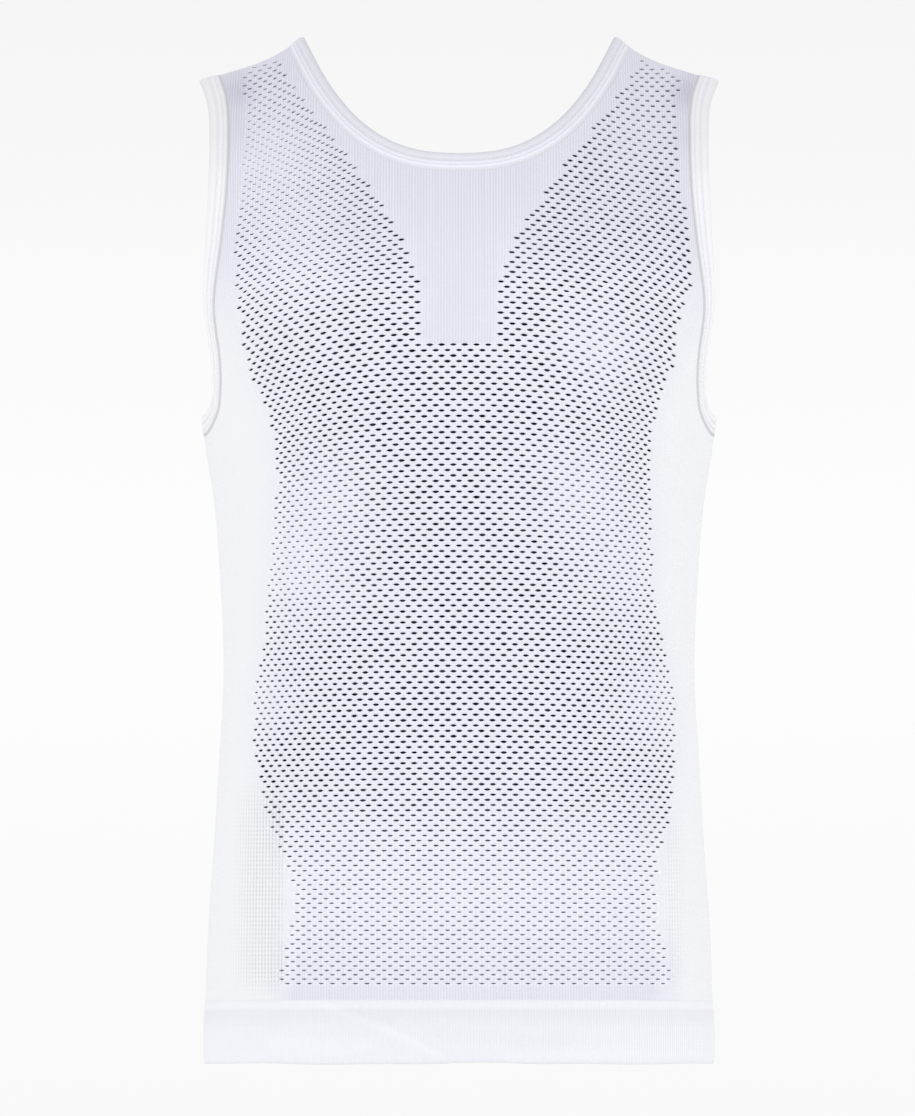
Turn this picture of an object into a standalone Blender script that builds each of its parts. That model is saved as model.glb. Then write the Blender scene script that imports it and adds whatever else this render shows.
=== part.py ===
"""A sleeveless net base layer, filled out as when worn, with nobody in it.

The front faces -Y and +Z is up. The origin lies midway between the shoulders, at the height where the
neck meets them. All measures are metres.
"""

import math

import bmesh
import bpy
import mathutils
import numpy as np
from mathutils import Vector

WALL = 0.0013
SEAM_GAP = 0.0003
HEM_LOW = -0.6734
HEM_TOP = -0.6324
HEM_PROUD = 0.0012
UNDERARM = -0.2615
CHEST = -0.200
NECK_POINT = 0.111
SHOULDER_TIP = 0.1585
SECTION_POWER = 2.3
CLIMB = 0.140
BACK_NECK_SHARE = 0.84
NECK_BLEND = 8
NECK_BAND_WIDTH = 0.0102
NECK_BAND_TURN = 4.0
ARM_BAND_WIDTH = 0.0130
FRONT_LIFT = 0.0041
LIFT_FROM = -0.500
BAND_HALF_THICKNESS = 0.0013

# How many cells each stretch of half a panel's outline has, and the net of points inside it.
HEM_CELLS = 14
FLANK_CELLS = 20
ARMHOLE_CELLS = 20
SHOULDER_CELLS = 3
NECK_CELLS = 13
FLANK = (HEM_CELLS, HEM_CELLS + FLANK_CELLS)
SHOULDER = (FLANK[1] + ARMHOLE_CELLS, FLANK[1] + ARMHOLE_CELLS + SHOULDER_CELLS)
ARC = 0.140
ROW_STEP = 0.0155
COLUMN_STEP = 0.0165
EDGE_MARGIN = 0.008
CURVE_SAMPLES = 400
TINY = 1e-4

# Columns: level, half width, depth of the front, depth of the back. Above the underarm the half width is
# that of a whole torso with its arms, which the armhole cuts.
SECTIONS = (
    (-0.690, 0.1664, 0.106, 0.110),
    (-0.632, 0.1662, 0.106, 0.110),
    (-0.579, 0.1643, 0.105, 0.107),
    (-0.527, 0.1606, 0.102, 0.100),
    (-0.474, 0.1577, 0.099, 0.093),
    (-0.422, 0.1547, 0.098, 0.090),
    (-0.356, 0.1570, 0.104, 0.095),
    (-0.303, 0.1613, 0.112, 0.104),
    (-0.2615, 0.1674, 0.117, 0.110),
    (-0.232, 0.1668, 0.1195, 0.113),
    (-0.200, 0.1705, 0.120, 0.114),
    (-0.172, 0.1762, 0.120, 0.114),
    (-0.139, 0.1840, 0.120, 0.114),
    (-0.105, 0.1905, 0.120, 0.114),
    (-0.070, 0.1950, 0.120, 0.114),
    (0.020, 0.1950, 0.120, 0.114),
)

# Columns: distance from the middle, height of the shoulder's crest.
CREST = (
    (0.000, 0.016),
    (0.060, 0.013),
    (0.085, 0.0085),
    (0.095, 0.005),
    (0.1035, 0.001),
    (0.111, -0.004),
    (0.120, -0.0095),
    (0.130, -0.0145),
    (0.140, -0.018),
    (0.150, -0.021),
    (0.160, -0.024),
    (0.175, -0.029),
    (0.195, -0.036),
)

# Columns: distance from the middle, height of the front's neck edge.
NECK_EDGE = (
    (0.0000, -0.0933),
    (0.0147, -0.0927),
    (0.0283, -0.0908),
    (0.0470, -0.0845),
    (0.0628, -0.0749),
    (0.0726, -0.0665),
    (0.0821, -0.0560),
    (0.0887, -0.0471),
    (0.0943, -0.0384),
    (0.0999, -0.0282),
    (0.1046, -0.0183),
    (0.1110, -0.0040),
)

# Columns: height, distance of the armhole's edge from the middle.
ARM_EDGE = (
    (-0.2615, 0.1674),
    (-0.2610, 0.1658),
    (-0.2604, 0.1645),
    (-0.2583, 0.1623),
    (-0.2547, 0.1600),
    (-0.2479, 0.1569),
    (-0.2357, 0.1553),
    (-0.2216, 0.1551),
    (-0.2086, 0.1562),
    (-0.1956, 0.1581),
    (-0.1828, 0.1594),
    (-0.1738, 0.1593),
    (-0.1599, 0.1576),
    (-0.1446, 0.1554),
    (-0.1252, 0.1531),
    (-0.1056, 0.1514),
    (-0.0856, 0.1505),
    (-0.0701, 0.1504),
    (-0.0514, 0.1511),
    (-0.0392, 0.1530),
    (-0.0317, 0.1554),
    (-0.0235, SHOULDER_TIP),
)

# Columns: height, turn of the armhole's band outwards from the cloth beside it, in degrees.
ARM_BAND_TURN = (
    (-0.2615, 3.0),
    (-0.2200, 0.0),
    (-0.1720, 2.0),
    (-0.1390, 7.0),
    (-0.1000, 12.0),
    (-0.0600, 8.0),
    (-0.0200, 2.0),
)

# Columns: share of the band's width from the cloth, share of its half thickness.
BAND_PROFILE = (
    (0.00, 0.62),
    (0.25, 0.95),
    (0.62, 1.00),
    (0.90, 0.72),
    (1.00, 0.00),
    (0.90, -0.72),
    (0.62, -1.00),
    (0.25, -0.95),
    (0.00, -0.62),
)

# Columns: share of the hem's height from its top, distance out from the panel's outer face.
HEM_PROFILE = (
    (0.00, 0.0004),
    (0.05, HEM_PROUD),
    (0.50, HEM_PROUD),
    (0.95, HEM_PROUD),
    (1.00, 0.0002),
    (1.00, -0.0011),
    (0.95, -WALL),
    (0.50, -WALL),
    (0.05, -WALL),
    (0.00, -0.0009),
)

CLOTH_COLOR = (0.86, 0.86, 0.90, 1.0)
BAND_COLOR = (0.91, 0.91, 0.93, 1.0)
CLOTH_ROUGHNESS = 0.85

FRONT = -1
BACK = 1
CREST_POWER = {FRONT: 1.75, BACK: 2.0}
DEPTH_COLUMN = {FRONT: 2, BACK: 3}
LIFT = {FRONT: FRONT_LIFT, BACK: 0.0}


def smooth(table, at, column=1):
    """The value of a table's column at a place, on a curve through its rows."""
    rows = np.array(table)
    places, values = rows[:, 0], rows[:, column]
    at = np.clip(at, places[0], places[-1])
    slopes = np.gradient(values, places)
    row = np.clip(np.searchsorted(places, at, side="right") - 1, 0, len(places) - 2)
    step = places[row + 1] - places[row]
    share = (at - places[row]) / step
    rest = 1 - share
    level = values[row] * (1 + 2 * share) * rest**2 + values[row + 1] * share**2 * (3 - 2 * share)
    lean = slopes[row] * share * rest**2 - slopes[row + 1] * share**2 * rest
    return level + step * lean


def locate(distance, height, side):
    """The angle and level of the outer face's point at a distance from the middle and a height."""
    share = np.clip((height - CHEST) / (smooth(CREST, distance) - CHEST), 0, 1)
    turn = np.arcsin(share ** (CREST_POWER[side] / 2))
    level = np.where(height > CHEST, CHEST + CLIMB * turn, height)
    width = smooth(SECTIONS, level)
    return np.arcsin(np.clip(distance / width, 0, 1) ** (SECTION_POWER / 2)), level


def place(angle, level, side):
    """The outer face's point at an angle from the middle and a level.

    A level is a height up to the chest. From there on it is a turn back towards the shoulder's crest.
    """
    width = smooth(SECTIONS, level)
    depth = smooth(SECTIONS, level, DEPTH_COLUMN[side])
    turn = np.clip((level - CHEST) / CLIMB, 0, math.pi / 2)
    x = width * np.sign(angle) * np.abs(np.sin(angle)) ** (2 / SECTION_POWER)
    rise = (smooth(CREST, np.abs(x)) - CHEST) * np.sin(turn) ** (2 / CREST_POWER[side])
    inward = np.abs(np.cos(angle)) ** (2 / SECTION_POWER) * np.cos(turn) ** (2 / CREST_POWER[side])
    y = side * (depth * inward + SEAM_GAP / 2)
    lift = np.clip((LIFT_FROM - level) / (LIFT_FROM - HEM_TOP), 0, 1) * LIFT[side] * inward
    return np.stack([x, y, np.where(level > CHEST, CHEST + rise, level + lift)], axis=-1)


def evenly(angles, levels, side, count):
    """Stations at equal lengths along a curve of angles and levels."""
    points = place(angles, levels, side)
    run = np.concatenate([[0], np.cumsum(np.linalg.norm(np.diff(points, axis=0), axis=1))])
    at = np.linspace(0, run[-1], count + 1)
    return np.stack([np.interp(at, run, angles), np.interp(at, run, levels)], axis=-1)


def half_outline(side):
    """The right half of a panel's outline, as five stretches of angles and levels.

    They run from the middle of the hem along the hem, flank, armhole, shoulder and neck.
    """
    top = CHEST + CLIMB * math.pi / 2
    ends = (1 - np.cos(np.linspace(0, math.pi, CURVE_SAMPLES))) / 2
    quarter = np.linspace(0, math.pi / 2, CURVE_SAMPLES)
    hem = evenly(quarter, np.full(CURVE_SAMPLES, HEM_TOP), side, HEM_CELLS)
    levels = np.linspace(HEM_TOP, UNDERARM, FLANK_CELLS + 1)
    flank = np.stack([np.full(FLANK_CELLS + 1, math.pi / 2), levels], axis=-1)
    heights = UNDERARM + (smooth(CREST, SHOULDER_TIP) - UNDERARM) * ends
    angles, levels = locate(smooth(ARM_EDGE, heights), heights, side)
    angles[0] = math.pi / 2
    armhole = evenly(angles, levels, side, ARMHOLE_CELLS)
    distances = np.linspace(SHOULDER_TIP, NECK_POINT, SHOULDER_CELLS + 1)
    angles = locate(distances, smooth(CREST, distances), side)[0]
    shoulder = np.stack([angles, np.full(SHOULDER_CELLS + 1, top)], axis=-1)
    distances = NECK_POINT * (1 - np.linspace(0, 1, CURVE_SAMPLES) ** 2)
    heights = smooth(NECK_EDGE, distances)
    if side == BACK:
        near = (distances / NECK_POINT) ** NECK_BLEND
        heights = heights * (BACK_NECK_SHARE + (1 - BACK_NECK_SHARE) * near)
    angles, levels = locate(distances, heights, side)
    neck = evenly(angles, levels, side, NECK_CELLS)
    armhole[-1] = shoulder[0]
    neck[0] = shoulder[-1]
    neck[-1, 0] = 0
    return hem, flank, armhole, shoulder, neck


def inside(points, outline, margin):
    """Which points lie inside a closed outline and at least a margin away from it."""
    start, end = outline, np.roll(outline, -1, axis=0)
    run = end - start
    kept = []
    for point in points:
        along = np.clip(((point - start) * run).sum(axis=1) / (run * run).sum(axis=1), 0, 1)
        near = np.linalg.norm(start + along[:, None] * run - point, axis=1).min()
        spans = (start[:, 1] > point[1]) != (end[:, 1] > point[1])
        rising = np.where(spans, run[:, 1], 1)
        crossing = start[:, 0] + (point[1] - start[:, 1]) / rising * run[:, 0]
        kept.append(near > margin and (spans & (crossing > point[0])).sum() % 2 == 1)
    return np.array(kept)


def unit(vectors):
    return vectors / np.linalg.norm(vectors, axis=-1, keepdims=True)


def outward(angle, level, side):
    """Outward directions of the outer face."""
    step = np.where(angle > 0, -TINY, TINY)
    here = place(angle, level, side)
    across = (place(angle + step, level, side) - here) * np.sign(step)[:, None]
    up = here - place(angle, level - TINY, side)
    return unit(-side * np.cross(across, up))


def panel(side):
    """A panel's outer points, outward directions and triangles; its outline's points come first."""
    stretches = half_outline(side)
    half = np.concatenate([stretches[0]] + [stretch[1:] for stretch in stretches[1:]])
    outline = np.concatenate([half, half[-2:0:-1] * (-1, 1)])
    flat = outline * (ARC, 1)
    rows = int((flat[:, 1].max() - HEM_TOP) / ROW_STEP)
    columns = int(ARC * math.pi / 2 / COLUMN_STEP) + 1
    net = []
    for row in range(1, rows + 1):
        for column in range(-columns, columns + 1):
            net.append(((column + row % 2 / 2) * COLUMN_STEP, HEM_TOP + row * ROW_STEP))
    net = np.array(net)
    net = net[inside(net, flat, EDGE_MARGIN)]
    corners = [Vector(corner) for corner in np.concatenate([flat, net])]
    loop = [list(range(len(flat)))]
    found = mathutils.geometry.delaunay_2d_cdt(corners, [], loop, 1, TINY * TINY)
    order = [sources[0] for sources in found[3]]
    triangles = np.array([[order[corner] for corner in face] for face in found[2]])
    spots = np.concatenate([outline, net / (ARC, 1)])
    points = place(spots[:, 0], spots[:, 1], side)
    out = outward(spots[:, 0], spots[:, 1], side)
    for first, last in (FLANK, SHOULDER):
        seam = np.arange(first, last + 1)
        out[np.concatenate([seam, len(outline) - seam]), 1] = 0
    return points, unit(out), triangles, len(outline)


def add_solid(name, points, faces, color):
    mesh = bpy.data.meshes.new(name)
    mesh.from_pydata([tuple(p) for p in points], [], faces)
    shell = bmesh.new()
    shell.from_mesh(mesh)
    bmesh.ops.recalc_face_normals(shell, faces=shell.faces)
    shell.to_mesh(mesh)
    shell.free()
    material = bpy.data.materials.new(name)
    material.use_nodes = True
    shader = material.node_tree.nodes["Principled BSDF"]
    shader.inputs["Base Color"].default_value = color
    shader.inputs["Roughness"].default_value = CLOTH_ROUGHNESS
    mesh.materials.append(material)
    bpy.context.collection.objects.link(bpy.data.objects.new(name, mesh))


def add_panel(name, points, out, triangles, rim_length):
    """A panel with its wall's thickness inside its outer face."""
    layers = np.concatenate([points, points - WALL * out])
    border = np.arange(rim_length)
    after = np.roll(border, -1)
    rim = np.stack([border, after, after + len(points), border + len(points)], axis=-1)
    faces = triangles.tolist() + (triangles[:, ::-1] + len(points)).tolist() + rim.tolist()
    add_solid(name, layers, faces, CLOTH_COLOR)


def edge_of(piece, stations):
    """Stations along a panel's edge: the middle of its wall and the outward direction."""
    points, out = piece[:2]
    return points[stations] - WALL / 2 * out[stations], out[stations]


def joined(front, back):
    """Two edges whose ends meet at the seams, as one closed row of stations."""
    whole = []
    for a, b in zip(front, back):
        start, end = (a[0] + b[0]) / 2, (a[-1] + b[-1]) / 2
        whole.append(np.concatenate([[start], a[1:-1], [end], b[-2:0:-1]]))
    return whole


def add_band(name, stations, width, turn):
    """A folded band round an opening, whose stations are its panels' own edge points."""
    middle, out = stations
    along = unit(np.roll(middle, -1, axis=0) - np.roll(middle, 1, axis=0))
    out = unit(out - (out * along).sum(axis=1, keepdims=True) * along)
    away = np.cross(along, out)
    inward = middle.mean(axis=0) - middle
    away = away * np.sign((away * inward).sum(axis=1, keepdims=True))
    turn = np.radians(turn)[:, None]
    away, out = away * np.cos(turn) + out * np.sin(turn), out * np.cos(turn) - away * np.sin(turn)
    rings = []
    for across, raised in BAND_PROFILE:
        rings.append(middle + away * (SEAM_GAP + across * width) + out * (raised * BAND_HALF_THICKNESS))
    points = np.stack(rings, axis=1)
    count, size = points.shape[:2]
    number = np.arange(count * size).reshape(count, size)
    after = np.roll(number, -1, axis=0)
    faces = np.stack([number, np.roll(number, -1, axis=1), np.roll(after, -1, axis=1), after], axis=-1)
    add_solid(name, points.reshape(-1, 3), faces.reshape(-1, 4).tolist(), BAND_COLOR)


def add_hem(name, side):
    """Half of the turned hem, a little proud of the panel above it."""
    angles = half_outline(side)[0][:, 0]
    angles = np.concatenate([-angles[:0:-1], angles])
    top = HEM_TOP - SEAM_GAP
    rings = []
    for fall, out in HEM_PROFILE:
        level = np.full(len(angles), top + (HEM_LOW - top) * fall)
        away = outward(angles, level, side)
        away[:, 2] = 0
        away[[0, -1], 1] = 0
        rings.append(place(angles, level, side) + out * unit(away))
    points = np.stack(rings, axis=1)
    count, size = points.shape[:2]
    number = np.arange(count * size).reshape(count, size)
    turned = np.roll(number, -1, axis=1)
    faces = np.stack([number[:-1], turned[:-1], turned[1:], number[1:]], axis=-1).reshape(-1, 4)
    caps = [number[0].tolist(), number[-1, ::-1].tolist()]
    add_solid(name, points.reshape(-1, 3), faces.tolist() + caps, BAND_COLOR)


for old in list(bpy.data.objects):
    bpy.data.objects.remove(old)

front, back = panel(FRONT), panel(BACK)
add_panel("body_front", *front)
add_panel("body_back", *back)
add_hem("hem_front", FRONT)
add_hem("hem_back", BACK)
rim = front[3]
neck = joined(*(edge_of(piece, np.arange(SHOULDER[1], rim - SHOULDER[1] + 1)) for piece in (front, back)))
add_band("neck_binding", neck, NECK_BAND_WIDTH, np.full(len(neck[0]), NECK_BAND_TURN))
plus_x_edge = np.arange(FLANK[1], SHOULDER[0] + 1)
for name, edge in (("left_armhole_binding", plus_x_edge), ("right_armhole_binding", rim - plus_x_edge)):
    hole = joined(edge_of(front, edge), edge_of(back, edge))
    add_band(name, hole, ARM_BAND_WIDTH, smooth(ARM_BAND_TURN, hole[0][:, 2]))
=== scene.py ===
import math

import bpy
import mathutils
import numpy as np
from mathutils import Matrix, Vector


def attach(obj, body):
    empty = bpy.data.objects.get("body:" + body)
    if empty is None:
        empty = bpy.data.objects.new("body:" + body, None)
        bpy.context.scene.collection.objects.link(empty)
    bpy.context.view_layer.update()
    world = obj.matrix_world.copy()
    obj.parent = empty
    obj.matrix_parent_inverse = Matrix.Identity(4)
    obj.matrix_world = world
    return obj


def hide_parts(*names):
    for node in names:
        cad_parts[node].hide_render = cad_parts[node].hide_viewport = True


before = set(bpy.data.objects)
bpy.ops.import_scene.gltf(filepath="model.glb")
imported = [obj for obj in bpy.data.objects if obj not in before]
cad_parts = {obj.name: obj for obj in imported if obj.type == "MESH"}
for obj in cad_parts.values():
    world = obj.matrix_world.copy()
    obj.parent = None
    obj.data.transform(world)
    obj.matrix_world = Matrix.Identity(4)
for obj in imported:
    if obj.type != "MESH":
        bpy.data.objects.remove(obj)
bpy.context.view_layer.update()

print("frame loaded:", ", ".join(sorted(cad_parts)))

front, back = -1, 1
sideNames = {front: "front", back: "back"}

# The garment's form, in metres: the same curves as the solids have.
form = {
    "wall": 0.0013,
    "hemLow": -0.6734,
    "hemTop": -0.6324,
    "underarm": -0.2615,
    "chest": -0.200,
    "neckPoint": 0.111,
    "shoulderTip": 0.1585,
    "sectionPower": 2.3,
    "climb": 0.140,
    "crestPower": {front: 1.75, back: 2.0},
    "depthColumn": {front: 2, back: 3},
    "lift": {front: 0.0041, back: 0.0},  # the front's hem hangs a little higher in the middle
    "liftFrom": -0.500,
    "backNeckShare": 0.84,
    "neckBlend": 8,
    "arc": 0.140,  # metres of cloth for one radian, where a panel is laid flat
}
topLevel = form["chest"] + form["climb"] * math.pi / 2

# How many points the curves are worked out from.
samples = {"edge": 600, "hem": 2001, "across": 120, "up": 200, "waist": 60, "strap": 400}

# level, half width, depth of the front, depth of the back
bodySections = (
    (-0.690, 0.1664, 0.106, 0.110), (-0.632, 0.1662, 0.106, 0.110), (-0.579, 0.1643, 0.105, 0.107),
    (-0.527, 0.1606, 0.102, 0.100), (-0.474, 0.1577, 0.099, 0.093), (-0.422, 0.1547, 0.098, 0.090),
    (-0.356, 0.1570, 0.104, 0.095), (-0.303, 0.1613, 0.112, 0.104), (-0.2615, 0.1674, 0.117, 0.110),
    (-0.232, 0.1668, 0.1195, 0.113), (-0.200, 0.1705, 0.120, 0.114), (-0.172, 0.1762, 0.120, 0.114),
    (-0.139, 0.1840, 0.120, 0.114), (-0.105, 0.1905, 0.120, 0.114), (-0.070, 0.1950, 0.120, 0.114),
    (0.020, 0.1950, 0.120, 0.114),
)

# distance from the middle, height of the shoulder's crest
shoulderCrest = (
    (0.000, 0.016), (0.060, 0.013), (0.085, 0.0085), (0.095, 0.005), (0.1035, 0.001), (0.111, -0.004),
    (0.120, -0.0095), (0.130, -0.0145), (0.140, -0.018), (0.150, -0.021), (0.160, -0.024),
    (0.175, -0.029), (0.195, -0.036),
)

# distance from the middle, height of the front's neck edge
neckEdge = (
    (0.0000, -0.0933), (0.0147, -0.0927), (0.0283, -0.0908), (0.0470, -0.0845), (0.0628, -0.0749),
    (0.0726, -0.0665), (0.0821, -0.0560), (0.0887, -0.0471), (0.0943, -0.0384), (0.0999, -0.0282),
    (0.1046, -0.0183), (0.1110, -0.0040),
)

# height, distance of the armhole's edge from the middle
armEdge = (
    (-0.2615, 0.1674), (-0.2610, 0.1658), (-0.2604, 0.1645), (-0.2583, 0.1623), (-0.2547, 0.1600),
    (-0.2479, 0.1569), (-0.2357, 0.1553), (-0.2216, 0.1551), (-0.2086, 0.1562), (-0.1956, 0.1581),
    (-0.1828, 0.1594), (-0.1738, 0.1593), (-0.1599, 0.1576), (-0.1446, 0.1554), (-0.1252, 0.1531),
    (-0.1056, 0.1514), (-0.0856, 0.1505), (-0.0701, 0.1504), (-0.0514, 0.1511), (-0.0392, 0.1530),
    (-0.0317, 0.1554), (-0.0235, 0.1585),
)


def smooth(table, at, column=1):
    rows = np.array(table)
    places, values = rows[:, 0], rows[:, column]
    at = np.clip(at, places[0], places[-1])
    slopes = np.gradient(values, places)
    row = np.clip(np.searchsorted(places, at, side="right") - 1, 0, len(places) - 2)
    step = places[row + 1] - places[row]
    share = (at - places[row]) / step
    rest = 1 - share
    level = values[row] * (1 + 2 * share) * rest**2 + values[row + 1] * share**2 * (3 - 2 * share)
    lean = slopes[row] * share * rest**2 - slopes[row + 1] * share**2 * rest
    return level + step * lean


def faded(at, table, column=1, **ends):
    # a table's value on the straight line between two rows
    rows = np.array(table)
    return np.interp(at, rows[:, 0], rows[:, column], **ends)


def locate(distance, height, side):
    chest = form["chest"]
    share = np.clip((height - chest) / (smooth(shoulderCrest, distance) - chest), 0, 1)
    turn = np.arcsin(share ** (form["crestPower"][side] / 2))
    level = np.where(height > chest, chest + form["climb"] * turn, height)
    width = smooth(bodySections, level)
    return np.arcsin(np.clip(distance / width, 0, 1) ** (form["sectionPower"] / 2)), level


def place(angle, level, side):
    # Above the chest a level is a turn back towards the shoulder's crest.
    chest, power, crest = form["chest"], form["sectionPower"], form["crestPower"][side]
    width = smooth(bodySections, level)
    depth = smooth(bodySections, level, form["depthColumn"][side])
    turn = np.clip((level - chest) / form["climb"], 0, math.pi / 2)
    x = width * np.sign(angle) * np.abs(np.sin(angle)) ** (2 / power)
    rise = (smooth(shoulderCrest, np.abs(x)) - chest) * np.sin(turn) ** (2 / crest)
    inward = np.abs(np.cos(angle)) ** (2 / power) * np.cos(turn) ** (2 / crest)
    y = side * depth * inward
    low = np.clip((form["liftFrom"] - level) / (form["liftFrom"] - form["hemTop"]), 0, 1)
    lift = low * form["lift"][side] * inward
    return np.stack([x, y, np.where(level > chest, chest + rise, level + lift)], axis=-1)


def unit(vectors):
    return vectors / np.linalg.norm(vectors, axis=-1, keepdims=True)


def outward(angle, level, side):
    tiny = 1e-4
    step = np.where(angle > 0, -tiny, tiny)
    here = place(angle, level, side)
    across = (place(angle + step, level, side) - here) * np.sign(step)[..., None]
    up = here - place(angle, level - tiny, side)
    return unit(-side * np.cross(across, up))


def lengthAlong(points):
    return np.concatenate([[0], np.cumsum(np.linalg.norm(np.diff(points, axis=0), axis=1))])


def evenly(angles, levels, side, count):
    run = lengthAlong(place(angles, levels, side))
    at = np.linspace(0, run[-1], count + 1)
    return np.stack([np.interp(at, run, angles), np.interp(at, run, levels)], axis=-1)


# How many cells each stretch of half a panel's outline has.
outlineCells = {"hem": 56, "flank": 80, "armhole": 84, "shoulder": 14, "neck": 56}
flankStart = outlineCells["hem"]
armholeStart = flankStart + outlineCells["flank"]
shoulderStart = armholeStart + outlineCells["armhole"]
neckStart = shoulderStart + outlineCells["shoulder"]


def halfOutline(side):
    # the right half, from the middle of the hem round to the middle of the neck
    count = samples["edge"]
    tip, point, underarm = form["shoulderTip"], form["neckPoint"], form["underarm"]
    ends = (1 - np.cos(np.linspace(0, math.pi, count))) / 2
    quarter = np.linspace(0, math.pi / 2, count)
    hem = evenly(quarter, np.full(count, form["hemTop"]), side, outlineCells["hem"])
    levels = np.linspace(form["hemTop"], underarm, outlineCells["flank"] + 1)
    flank = np.stack([np.full(len(levels), math.pi / 2), levels], axis=-1)
    heights = underarm + (smooth(shoulderCrest, tip) - underarm) * ends
    angles, levels = locate(smooth(armEdge, heights), heights, side)
    angles[0] = math.pi / 2
    armhole = evenly(angles, levels, side, outlineCells["armhole"])
    distances = np.linspace(tip, point, outlineCells["shoulder"] + 1)
    angles = locate(distances, smooth(shoulderCrest, distances), side)[0]
    shoulder = np.stack([angles, np.full(len(angles), topLevel)], axis=-1)
    distances = point * (1 - np.linspace(0, 1, count) ** 2)
    heights = smooth(neckEdge, distances)
    if side == back:
        near = (distances / point) ** form["neckBlend"]
        heights = heights * (form["backNeckShare"] + (1 - form["backNeckShare"]) * near)
    angles, levels = locate(distances, heights, side)
    neck = evenly(angles, levels, side, outlineCells["neck"])
    armhole[-1] = shoulder[0]
    neck[0] = shoulder[-1]
    neck[-1, 0] = 0
    return hem, flank, armhole, shoulder, neck


def wholeOutline(side):
    stretches = halfOutline(side)
    half = np.concatenate([stretches[0]] + [stretch[1:] for stretch in stretches[1:]])
    return np.concatenate([half, half[-2:0:-1] * (-1, 1)])


# The camera stands level with the garment's lower half. Places on the net are taken in its view, in the
# upright plane through the middle of the garment, in millimetres from the middle and from the neck point.
view = {
    "distance": 4.5,
    "height": -0.500,
    "aimHeight": -0.3416,
    "aimSide": -0.001,
    "frameHeight": 0.7332,
    "sensor": 36,
    "farthest": 40,
    "rounds": 7,  # of finding the cloth behind a point of the view
}


def onSurface(across, up, side):
    # angle and level of the cloth behind a point of the view
    distance, height = np.abs(across), np.array(up, float)
    for repeat in range(view["rounds"]):
        angle, level = locate(distance, height, side)
        point = place(angle, level, side)
        nearer = 1 - np.abs(point[..., 1]) / view["distance"]
        distance = distance + np.abs(across) * nearer - point[..., 0]
        height = height + view["height"] + (up - view["height"]) * nearer - point[..., 2]
    return angle * np.sign(across), level


def viewed(points):
    # where points of the cloth stand in the view, in metres
    nearer = 1 - np.abs(points[..., 1]) / view["distance"]
    return points[..., 0] / nearer, view["height"] + (points[..., 2] - view["height"]) / nearer


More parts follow.
